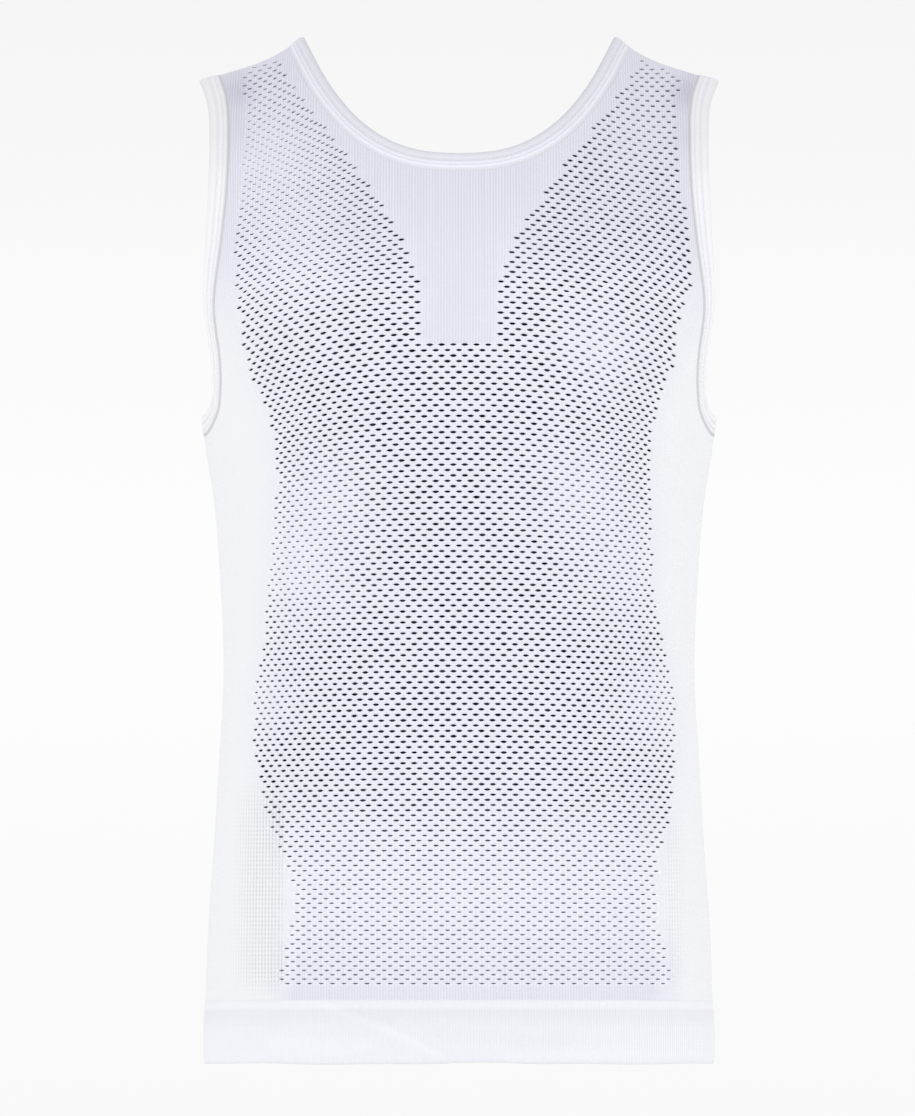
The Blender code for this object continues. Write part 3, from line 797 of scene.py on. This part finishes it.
# Bindings, in millimetres: distance along the cloth from its cut edge, height over the middle of the cloth.
# Two rows of cover stitches sink into the rolled band.
binding = {
    "neck": {
        "turn": ((-0.2, 4.0), (0.1, 4.0)),
        "profile": (
            (-2.8, 0.55), (-2.2, 0.74), (-1.2, 0.90), (-0.3, 1.12), (0.5, 1.34), (1.1, 1.32), (1.9, 1.02),
            (2.5, 1.28), (3.1, 1.44), (3.8, 1.34), (4.6, 1.06), (5.3, 1.36), (6.6, 1.60), (8.1, 1.38),
            (9.2, 0.96), (9.9, 0.46), (10.3, 0.0), (9.9, -0.6), (8.8, -1.1), (6.5, -1.3), (3.5, -1.3),
            (1.0, -1.1), (-0.2, -0.4), (-2.5, -0.3),
        ),
        "colour": (1.0, 1.0, 1.09),
        "stitchRows": (6, 10),  # which points of the profile the stitches lie along
        # distance, brightness of the band's cloth: painted highlights on its ridges and painted shade in its
        # grooves and along its foot
        "tones": (
            (-2.8, 0.71), (-0.8, 0.78), (0.7, 0.90), (1.9, 0.75), (2.9, 0.87), (4.6, 0.70), (6.0, 0.80),
            (8.0, 0.75), (9.9, 0.66),
        ),
        "shade": ((-0.090, 1.0), (-0.060, 0.96), (0, 0.93)),  # height, share of the brightness
    },
    "armhole": {
        # height: turn outwards from the cloth beside it, in degrees
        "turn": (
            (-0.2615, 3.0), (-0.2200, 0.0), (-0.1720, 2.0), (-0.1390, 7.0), (-0.1000, 12.0),
            (-0.0600, 8.0), (-0.0200, 2.0),
        ),
        "profile": (
            (-1.7, 0.58), (-1.4, 0.71), (-0.3, 0.75), (0.1, 1.16), (0.8, 1.42), (1.8, 1.50), (2.5, 1.38),
            (3.1, 1.12), (3.8, 1.40), (5.0, 1.58), (6.3, 1.46), (7.1, 1.16), (7.9, 1.44), (9.4, 1.54),
            (11.3, 1.18), (12.6, 0.58), (13.1, 0.0), (12.6, -0.6), (11.3, -1.1), (8.5, -1.3), (4.5, -1.3),
            (1.0, -1.1), (-0.2, -0.4), (-1.5, -0.3),
        ),
        "colour": (1.0, 0.995, 1.045),
        "stitchRows": (7, 11),
        # brightness across the band: painted highlights on its ridges and painted shade in its grooves and at
        # its foot
        "tones": (
            (-1.7, 0.74), (-0.6, 0.62), (0.4, 0.74), (1.6, 0.93), (3.1, 0.85), (4.6, 0.93), (7.1, 0.86),
            (9.0, 0.93), (12.8, 0.88),
        ),
        "shade": ((-0.300, 1.01), (-0.150, 1.01), (-0.106, 0.99), (-0.070, 0.90), (0, 0.865)),
    },
    # "along" says where a thread's rings lie, in shares of its length, and "raised" how far out of the cloth
    "stitch": {
        "pitch": 0.0030, "length": 0.0023, "radius": 0.00020, "sides": 6,
        "along": (-0.5, -0.3, 0.3, 0.5), "raised": 0.35,
    },
}


def edgeStations(panel, stations):
    points, out = panel["points"][stations], panel["out"][stations]
    return points - form["wall"] / 2 * out, out


def joinedEdges(ahead, behind):
    whole = []
    for a, b in zip(ahead, behind):
        start, end = (a[0] + b[0]) / 2, (a[-1] + b[-1]) / 2
        whole.append(np.concatenate([[start], a[1:-1], [end], b[-2:0:-1]]))
    return whole


def stitches(line, out):
    # rounded threads end to end along a closed line, half sunk into the cloth
    sizes = binding["stitch"]
    line, out = np.concatenate([line, line[:1]]), np.concatenate([out, out[:1]])
    run = lengthAlong(line)
    count = round(run[-1] / sizes["pitch"])
    at = (np.arange(count) + 0.5) * run[-1] / count
    spots = [at + share * sizes["length"] for share in sizes["along"]]
    spots = [np.stack([np.interp(spot, run, line[:, i]) for i in range(3)], axis=-1) for spot in spots]
    up = unit(np.stack([np.interp(at, run, out[:, i]) for i in range(3)], axis=-1))
    sideways = unit(np.cross(spots[2] - spots[1], up))
    turns = np.arange(sizes["sides"]) * 2 * math.pi / sizes["sides"]
    points = [spots[0]]
    for spot in spots[1:3]:
        for turn in turns:
            reach = math.cos(turn) * sideways + (math.sin(turn) + sizes["raised"]) * up
            points.append(spot + sizes["radius"] * reach)
    points = np.stack(points + [spots[3]], axis=1)
    n = sizes["sides"]
    first = np.arange(count)[:, None] * (2 * n + 2)
    i, j = 1 + np.arange(n), 1 + (np.arange(n) + 1) % n
    start = np.stack([np.zeros(n, int), j, i], axis=-1)
    body = np.stack([i, j, j + n, i + n], axis=-1)
    end = np.stack([i + n, j + n, np.full(n, 2 * n + 1)], axis=-1)
    faces = [(first[:, :, None] + part[None]).reshape(-1, part.shape[1]) for part in (start, body, end)]
    return points.reshape(-1, 3), faces


def addBinding(name, edge, sizes):
    middle, out = edge
    along = unit(np.roll(middle, -1, axis=0) - np.roll(middle, 1, axis=0))
    out = unit(out - (out * along).sum(axis=1, keepdims=True) * along)
    away = np.cross(along, out)
    away = away * np.sign((away * (middle.mean(axis=0) - middle)).sum(axis=1, keepdims=True))
    turn = np.radians(smooth(sizes["turn"], middle[:, 2]))[:, None]
    turnedAway = away * np.cos(turn) + out * np.sin(turn)
    turnedOut = out * np.cos(turn) - away * np.sin(turn)
    rings = []
    for distance, raised in sizes["profile"]:
        over, up = (turnedAway, turnedOut) if distance > 0 else (away, out)
        rings.append(middle + over * distance / 1000 + up * raised / 1000)
    points = np.stack(rings, axis=1)
    count, size = points.shape[:2]
    number = np.arange(count * size).reshape(count, size)
    after = np.roll(number, -1, axis=0)
    faces = np.stack([number, np.roll(number, -1, axis=1), np.roll(after, -1, axis=1), after], axis=-1)
    faces = faces.reshape(-1, 4)
    run = lengthAlong(middle)
    over = np.array([distance for distance, raised in sizes["profile"]]) / 1000
    knit = np.stack(np.broadcast_arrays(run[:, None], over[None, :]), axis=-1).reshape(-1, 2)
    normal = np.cross(points[1, 0] - points[0, 0], points[0, 1] - points[0, 0])
    if (normal * out[0]).sum() > 0:
        faces = faces[:, ::-1]
    groups, everything, knits = [(faces, 0, True)], [points.reshape(-1, 3)], [knit]
    for row in sizes["stitchRows"]:
        threads, threadFaces = stitches(points[:, row], turnedOut)
        for sidesOf in threadFaces:
            groups.append((sidesOf + sum(map(len, everything)), 1, True))
        everything.append(threads)
        knits.append(np.zeros((len(threads), 2)))
    everything = np.concatenate(everything)
    stitchCount = len(threads) // (2 * binding["stitch"]["sides"] + 2)
    length = run[-1] + math.dist(middle[-1], middle[0])
    print("%s: %.3f m round, %d stitches a row" % (name, length, stitchCount))
    marks = {"shade": faded(everything[:, 2], sizes["shade"])}
    piece = pieceFrom(name, everything, groups, np.concatenate(knits), marks)
    bandCloth = makeBandCloth(name, sizes)
    return dress(piece, "binding", [name.replace("_band", "_binding")], bandCloth, threadCloth)


# The turned hem: share of its height from the top, millimetres out from the panel's outer face.
hem = {
    "outside": (
        (0.00, 0.04), (0.02, 0.24), (0.05, 0.42), (0.085, 0.52), (0.13, 0.52), (0.18, 0.60), (0.24, 0.74),
        (0.30, 0.88), (0.36, 1.00), (0.42, 1.10), (0.48, 1.17), (0.54, 1.22), (0.60, 1.24), (0.66, 1.24),
        (0.72, 1.23), (0.78, 1.20), (0.84, 1.15), (0.90, 1.05), (0.95, 0.86), (0.985, 0.50), (1.00, 0.0),
    ),
    "inside": ((0.99, -0.9), (0.95, -1.3), (0.5, -1.3), (0.05, -1.3), (0.00, -0.7)),
    "columns": 300,
    # creases, in millimetres: from across and up, to across and up, width, height; the back's are mirrored
    "creases": (
        (-88, -634, -46, -650, 3.4, 0.80), (-46, -650, -14, -666, 3.2, 0.95),
        (-14, -652, 70, -655, 5.5, -0.50), (30, -668, 110, -664, 5.5, 0.45),
        (-120, -656, -60, -660, 6.0, 0.40),
    ),
    "creased": (0.05, 0.96),  # shares of the height between which creases lift the cloth
    "endsPaintedLight": 0.025,
    "endsFrom": 60,  # millimetres from the middle, and the millimetres over which the ends get lighter with painted light
    "endsOver": 90,
    "creasePaintedLight": 0.045,  # painted light for each millimetre a crease is raised, painted shade where it sinks
    "wave": ((0.0005, 0.036, 1.0), (0.0003, 0.091, 0.3)),  # lower edge: height, turn per millimetre, start
    # share of the height from the top, brightness: a painted highlight near the top and painted shade across
    # the turned hem's roll
    "tones": (
        (0.00, 0.845), (0.06, 0.880), (0.11, 0.880), (0.17, 0.820), (0.28, 0.830), (0.45, 0.865),
        (0.70, 0.875), (0.93, 0.880), (0.985, 0.850),
    ),
}


def creased(across, up, creases):
    # how far soft ridges and troughs lift the cloth, in metres
    raised = np.zeros(len(across))
    spot = np.stack([across, up], axis=-1) * 1000
    for ax, az, bx, bz, width, height in creases:
        start, run = np.array([ax, az]), np.array([bx - ax, bz - az])
        along = np.clip((spot - start) @ run / (run @ run), 0, 1)
        off = spot - start - along[:, None] * run
        beside = (off[:, 0] * run[1] - off[:, 1] * run[0]) / math.hypot(*run)
        near = np.exp(-((off**2).sum(axis=1)) / width**2)
        raised += height * near * (0.5 + beside / width)
    return raised / 1000


def addHem(side):
    angles = np.linspace(-math.pi / 2, math.pi / 2, samples["hem"])
    spots = evenly(angles, np.full(len(angles), form["hemTop"]), side, hem["columns"])
    angles = spots[:, 0]
    top = form["hemTop"]
    creasedFrom, creasedTo = hem["creased"]
    rings, knit, falls, paintedLight = [], [], [], []
    for fall, raised in hem["outside"] + hem["inside"]:
        level = np.full(len(angles), top + (form["hemLow"] - top) * fall)
        points = place(angles, level, side)
        across = points[:, 0] * 1000
        for height, turn, start in hem["wave"]:
            level = level + height * np.sin(turn * across * -side + start) * fall**4 * np.cos(angles)
        points = place(angles, level, side)
        away = outward(angles, level, side)
        away[:, 2] = 0
        away[[0, -1], 1] = 0
        across, up = viewed(points)
        lift = creased(across * -side, up, hem["creases"])
        lift = lift * (creasedFrom < fall < creasedTo) * (raised > 0)
        rings.append(points + (raised / 1000 + lift)[:, None] * unit(away))
        knit.append(knitPlace(angles, level, side))
        falls.append(np.full(len(level), fall))
        ends = np.clip((np.abs(across) * 1000 - hem["endsFrom"]) / hem["endsOver"], 0, 1)
        # painted light on the hem's ends and on its raised creases, painted shade in its sunk ones
        paintedLight.append(hem["endsPaintedLight"] * ends + hem["creasePaintedLight"] * lift * 1000)
    points, knit, falls, paintedLight = (np.stack(parts, axis=1) for parts in (rings, knit, falls, paintedLight))
    count, size = points.shape[:2]
    number = np.arange(count * size).reshape(count, size)
    turned = np.roll(number, -1, axis=1)
    faces = np.stack([number[:-1], turned[:-1], turned[1:], number[1:]], axis=-1).reshape(-1, 4)
    if side == back:
        faces = faces[:, ::-1]
    name = sideNames[side] + "_hem"
    marks = {"fall": falls.ravel(), "paintedLight": paintedLight.ravel()}
    piece = pieceFrom(name, points.reshape(-1, 3), [(faces, 0, True)], knit.reshape(-1, 2), marks)
    return dress(piece, "welt", ["hem_" + sideNames[side]], hemCloth)


# The cloth's colours and its knit.
cloth = {
    "tones": (  # share of the painted sheer shade, and colour
        (0.00, (0.890, 0.895, 0.935)),
        (0.30, (0.818, 0.818, 0.893)),
        (0.55, (0.742, 0.742, 0.828)),
        (0.75, (0.680, 0.676, 0.775)),
        (1.00, (0.545, 0.540, 0.640)),
    ),
    # the openings' ends: painted shade, from its least to its deepest
    "openingShade": (0.008, 0.009, 0.018),
    "openingLeastShade": (0.50, 0.50, 0.56),
    "wales": 4,
    "courses": 3,
    # "streaks" says how far they stretch along the wales, their scale and their detail, and "relief" how much
    # the wales and the courses stand out
    "rib": {
        "plain": 0.008, "sheerShade": 0.165, "most": 0.058, "wales": 1.05, "uneven": 1.5,
        "streaks": (0.04, 0.9, 1.0), "relief": (0.5, 0.25),
    },
    "rimHighlight": 0.075,
    "eyelets": {"across": 2.9, "up": 1.27, "paintedShade": 0.27, "rows": (0.35, 0.65), "narrow": 1.6, "deep": 1.5},
    "relief": 0.00012,
    # the look of the net from inside: half a lens along and up, in shares of a pitch and a row
    "inside": {"long": 0.28, "tall": 0.22, "wales": 0.012, "paintedShade": 0.55, "deep": 3.0},
    "band": {"pitch": 0.0011, "fine": 0.006, "clouds": 90.0, "cloudy": 0.05, "relief": 0.00005},
    "hem": (0.985, 0.990, 1.045),
    "hemLook": {"wales": 0.008, "broken": 0.05, "streaks": (0.35, 1.3, 3.0), "relief": (0.4, 0.2)},
    "thread": (0.82, 0.82, 0.88),
}


def newMaterial(name, roughness, sheen):
    material = bpy.data.materials.new(name)
    material.use_nodes = True
    shader = material.node_tree.nodes["Principled BSDF"]
    shader.inputs["Roughness"].default_value = roughness
    shader.inputs["Sheen Weight"].default_value = sheen
    shader.inputs["Sheen Roughness"].default_value = 0.5
    shader.inputs["Specular IOR Level"].default_value = 0.15
    return material, material.node_tree, shader


def node(tree, kind, *inputs, **settings):
    made = tree.nodes.new("ShaderNode" + kind)
    for name, value in settings.items():
        setattr(made, name, value)
    for index, value in enumerate(inputs):
        if isinstance(value, bpy.types.NodeSocket):
            tree.links.new(value, made.inputs[index])
        elif value is not None:
            made.inputs[index].default_value = value
    return made


def sums(tree, operation, *inputs):
    return node(tree, "Math", *inputs, operation=operation).outputs[0]


def times(tree, a, b):
    return sums(tree, "MULTIPLY", a, b)


def plus(tree, a, b):
    return sums(tree, "ADD", a, b)


def minus(tree, a, b):
    return sums(tree, "SUBTRACT", a, b)


def line(tree, value, slope, start):
    return sums(tree, "MULTIPLY_ADD", value, slope, start)


def mark(tree, name):
    return node(tree, "Attribute", attribute_name=name).outputs["Fac"]


def knitAxes(tree):
    place = node(tree, "UVMap", uv_map="knit").outputs[0]
    parts = node(tree, "SeparateXYZ", place)
    return parts.outputs[0], parts.outputs[1]


def combined(tree, x, y, z=0.0):
    return node(tree, "CombineXYZ", x, y, z).outputs[0]


def noise(tree, vector, scale, detail=2.0):
    made = node(tree, "TexNoise", vector)
    made.inputs["Scale"].default_value = scale
    made.inputs["Detail"].default_value = detail
    return made.outputs[0]


def ramp(tree, value, stops):
    made = node(tree, "ValToRGB", value)
    elements = made.color_ramp.elements
    while len(elements) < len(stops):
        elements.new(0.5)
    for element, (place, colour) in zip(elements, stops):
        element.position = place
        element.color = (*colour, 1)
    return made.outputs[0]


def tinted(tree, colour, factor):
    # a colour made lighter or darker by a factor near 1
    made = node(tree, "VectorMath", colour, None, operation="SCALE")
    tree.links.new(factor, made.inputs["Scale"])
    return made.outputs[0]


def wave(tree, value, turns):
    return sums(tree, "SINE", times(tree, value, turns * 2 * math.pi))


def ribs(tree, u, v):
    # the wales, and the small courses across them
    return wave(tree, u, cloth["wales"]), wave(tree, v, cloth["courses"])


def streaks(tree, u, v, stretch, scale, detail):
    # uneven brightness, drawn out along the wales
    stretched = combined(tree, times(tree, u, cloth["wales"]), times(tree, v, stretch))
    return minus(tree, noise(tree, stretched, scale, detail), 0.5)


def relief(tree, wales, courses, shares):
    return plus(tree, times(tree, wales, shares[0]), times(tree, courses, shares[1]))


def bumped(tree, shader, height, distance):
    bump = node(tree, "Bump")
    bump.inputs["Strength"].default_value = 1.0
    bump.inputs["Distance"].default_value = distance
    tree.links.new(height, bump.inputs["Height"])
    tree.links.new(bump.outputs[0], shader.inputs["Normal"])


def makeKnitCloth():
    material, tree, shader = newMaterial("knit_cloth", 0.9, 0.2)
    u, v = knitAxes(tree)
    wales, courses = ribs(tree, u, v)
    rib = cloth["rib"]
    uneven = streaks(tree, u, v, *rib["streaks"])
    sheerShadeMark = mark(tree, "sheerShade")
    # the cloth's own colour, darker and bluer with the painted sheer shade
    base = ramp(tree, sheerShadeMark, cloth["tones"])
    # painted shade and highlight along the wales, stronger where the painted sheer shade is, with tone that
    # differs at random along the streaks
    lines = plus(tree, times(tree, wales, rib["wales"]), times(tree, uneven, rib["uneven"]))
    amount = times(tree, sums(tree, "POWER", sheerShadeMark, 2.0), rib["sheerShade"])
    amount = sums(tree, "MINIMUM", plus(tree, amount, rib["plain"]), rib["most"])
    factor = line(tree, lines, amount, 1.0)
    # a painted highlight on the openings' lips
    factor = line(tree, mark(tree, "rim"), cloth["rimHighlight"], factor)
    # fine eyelets beside the waist, drawn as dots of painted shade with a dent
    eyelets = cloth["eyelets"]
    columns = line(tree, wave(tree, u, eyelets["across"]), 0.5, 0.5)
    rows = line(tree, wave(tree, v, eyelets["up"]), *eyelets["rows"])
    dots = times(tree, sums(tree, "POWER", columns, eyelets["narrow"]), rows)
    dots = times(tree, dots, mark(tree, "eyelet"))
    factor = minus(tree, factor, times(tree, dots, eyelets["paintedShade"]))
    tree.links.new(tinted(tree, base, factor), shader.inputs["Base Color"])
    height = minus(tree, relief(tree, wales, courses, rib["relief"]), times(tree, dots, eyelets["deep"]))
    bumped(tree, shader, height, cloth["relief"])
    return material


def makeOpeningShade():
    # the openings' ends carry painted shade in place of the shaded hollow behind the net
    material, tree, shader = newMaterial("opening_painted_shade", 0.9, 0.0)
    colour = ramp(tree, mark(tree, "paintedShade"), ((0.0, cloth["openingLeastShade"]), (1.0, cloth["openingShade"])))
    tree.links.new(colour, shader.inputs["Base Color"])
    return material


def makeLiningCloth():
    # the net as it looks from inside: small lenses of painted shade in half-drop rows where the net is open,
    # over the painted sheer shade, with faint painted shade along the wales
    material, tree, shader = newMaterial("lining_cloth", 0.9, 0.2)
    look = cloth["inside"]
    u, v = knitAxes(tree)
    wales = wave(tree, u, cloth["wales"])
    row = sums(tree, "FLOOR", v)
    shifted = line(tree, row, 0.5, u)
    away = sums(tree, "ABSOLUTE", minus(tree, sums(tree, "FRACT", shifted), 0.5))
    above = sums(tree, "ABSOLUTE", minus(tree, sums(tree, "FRACT", v), 0.5))
    tall = sums(tree, "POWER", sums(tree, "DIVIDE", above, look["tall"]), 2.0)
    lens = plus(tree, sums(tree, "DIVIDE", away, look["long"]), tall)
    hole = times(tree, sums(tree, "LESS_THAN", lens, 1.0), mark(tree, "open"))
    base = ramp(tree, mark(tree, "sheerShade"), cloth["tones"])
    shade = minus(tree, line(tree, wales, look["wales"], 1.0), times(tree, hole, look["paintedShade"]))
    tree.links.new(tinted(tree, base, shade), shader.inputs["Base Color"])
    height = minus(tree, times(tree, wales, cloth["rib"]["relief"][0]), times(tree, hole, look["deep"]))
    bumped(tree, shader, height, cloth["relief"])
    return material


def makeBandCloth(name, sizes):
    # u runs along the band and v across it from the cloth's cut edge, both in metres
    material, tree, shader = newMaterial(name + "_cloth", 0.82, 0.25)
    u, v = knitAxes(tree)
    look, tones = cloth["band"], sizes["tones"]
    low, high = tones[0][0], tones[-1][0]
    stops = [((at - low) / (high - low), tuple(tone * c for c in sizes["colour"])) for at, tone in tones]
    base = ramp(tree, line(tree, v, 1000 / (high - low), -low / (high - low)), stops)
    # fine stripes of painted shade repeating along the band, matching its bump
    fine = sums(tree, "SINE", times(tree, u, 2 * math.pi / look["pitch"]))
    cloudy = noise(tree, combined(tree, u, v), look["clouds"])
    factor = line(tree, cloudy, look["cloudy"], 1 - look["cloudy"] / 2)
    factor = times(tree, line(tree, fine, look["fine"], factor), mark(tree, "shade"))
    tree.links.new(tinted(tree, base, factor), shader.inputs["Base Color"])
    bumped(tree, shader, fine, look["relief"])
    return material


def makeHemCloth():
    material, tree, shader = newMaterial("hem_cloth", 0.88, 0.2)
    u, v = knitAxes(tree)
    look = cloth["hemLook"]
    wales, courses = ribs(tree, u, v)
    broken = streaks(tree, u, v, *look["streaks"])
    # painted shade along the wales, with broken tone at random, and the painted light of the hem's ends and
    # creases
    factor = plus(tree, times(tree, wales, look["wales"]), times(tree, broken, look["broken"]))
    factor = plus(tree, plus(tree, factor, 1.0), mark(tree, "paintedLight"))
    # brightness down the hem: a painted highlight near its top and painted shade across its roll
    stops = [(at, tuple(tone * c for c in cloth["hem"])) for at, tone in hem["tones"]]
    base = ramp(tree, mark(tree, "fall"), stops)
    tree.links.new(tinted(tree, base, factor), shader.inputs["Base Color"])
    bumped(tree, shader, relief(tree, wales, courses, look["relief"]), cloth["relief"])
    return material


def makeThreadCloth():
    material, tree, shader = newMaterial("thread_cloth", 0.6, 0.2)
    shader.inputs["Base Color"].default_value = (*cloth["thread"], 1)
    return material


knitCloth, openingShade, liningCloth = makeKnitCloth(), makeOpeningShade(), makeLiningCloth()
hemCloth, threadCloth = makeHemCloth(), makeThreadCloth()
# the cloths' colours hold painted shade and painted highlights as well as their own colour
print("cloths coloured, with painted light and shade")

frontPiece, frontPanel = addPanel(front)
backPiece, backPanel = addPanel(back)
print("panels knitted")
around = len(frontPanel["outline"])
panels = (frontPanel, backPanel)
neckStations = np.arange(neckStart, around - neckStart + 1)
edges = [edgeStations(panel, neckStations) for panel in panels]
bands = [addBinding("neck_band", joinedEdges(*edges), binding["neck"])]
armStations = np.arange(armholeStart, shoulderStart + 1)
for name, stations in (("left_armhole_band", armStations), ("right_armhole_band", around - armStations)):
    edges = [edgeStations(panel, stations) for panel in panels]
    bands.append(addBinding(name, joinedEdges(*edges), binding["armhole"]))
print("bindings sewn on")
hems = [addHem(side) for side in (front, back)]
print("hem turned")
hemHeight = form["hemTop"] - form["hemLow"]
for piece, panel, trimmings in (
    (frontPiece, frontPanel, [hems[0], bands[0]]), (backPiece, backPanel, [hems[1], bands[1], bands[2]]),
):
    wide, long, area = cutSize(panel, hemHeight)


# Studio: a pale floor, a pale surround that is brightest behind the garment, soft lights, and the camera.
studio = {
    "floor": -1.15,
    "reach": 7,
    "paper": (0.965, 0.965, 0.965),
    "spread": 1.4,  # of each light, in radians
    # slope up from level, brightness
    "surround": (
        (-0.20, 0.95), (-0.046, 0.945), (0.030, 0.985), (0.060, 0.965), (0.116, 0.915), (0.25, 0.97),
    ),
    # name: place, width and height, power
    "lights": {
        "front_soft": ((0, -3.6, 0.3), (2.4, 2.4), 0.68),
        "left_soft": ((-2.6, -2.2, 0.3), (1.2, 2.4), 1.6),
        "right_soft": ((2.6, -2.2, 0.3), (1.2, 2.4), 1.6),
    },
}


def addStudio():
    reach, low = studio["reach"], studio["floor"]
    corners = [(x * reach, y * reach, low) for x, y in ((-1, -1), (1, -1), (1, 1), (-1, 1))]
    floor = pieceFrom("floor", corners, [([(0, 1, 2, 3)], 0, False)])
    paper, tree, shader = newMaterial("floor_paper", 0.9, 0)
    shader.inputs["Base Color"].default_value = (*studio["paper"], 1)
    floor.data.materials.append(paper)
    world = bpy.data.worlds.new("studio")
    world.use_nodes = True
    tree = world.node_tree
    slope = node(tree, "SeparateXYZ", node(tree, "TexCoord").outputs["Generated"]).outputs[2]
    tones = [(place / 2 + 0.5, (tone, tone, tone)) for place, tone in studio["surround"]]
    colour = ramp(tree, line(tree, slope, 0.5, 0.5), tones)
    tree.links.new(colour, tree.nodes["Background"].inputs["Color"])
    bpy.context.scene.world = world


def addLight(name, place, size, power):
    aim = (0, 0, view["aimHeight"])
    data = bpy.data.lights.new(name, "AREA")
    data.shape = "RECTANGLE"
    data.size, data.size_y = size
    data.energy = power
    data.spread = studio["spread"]
    light = bpy.data.objects.new(name, data)
    light.location = place
    light.rotation_euler = (Vector(aim) - Vector(place)).to_track_quat("-Z", "Y").to_euler()
    bpy.context.scene.collection.objects.link(light)


def addCamera():
    data = bpy.data.cameras.new("camera")
    data.sensor_width = view["sensor"]
    data.lens = view["sensor"] * view["distance"] / view["frameHeight"]
    camera = bpy.data.objects.new("camera", data)
    camera.location = (view["aimSide"], -view["distance"], view["height"])
    aim = Vector((view["aimSide"], 0, view["aimHeight"]))
    camera.rotation_euler = (aim - camera.location).to_track_quat("-Z", "Y").to_euler()
    data.clip_end = view["farthest"]
    bpy.context.scene.collection.objects.link(camera)
    bpy.context.scene.camera = camera


addStudio()
for name, (place, size, power) in studio["lights"].items():
    addLight(name, place, size, power)
addCamera()
bpy.context.scene.view_settings.view_transform = "Standard"
print("studio set")
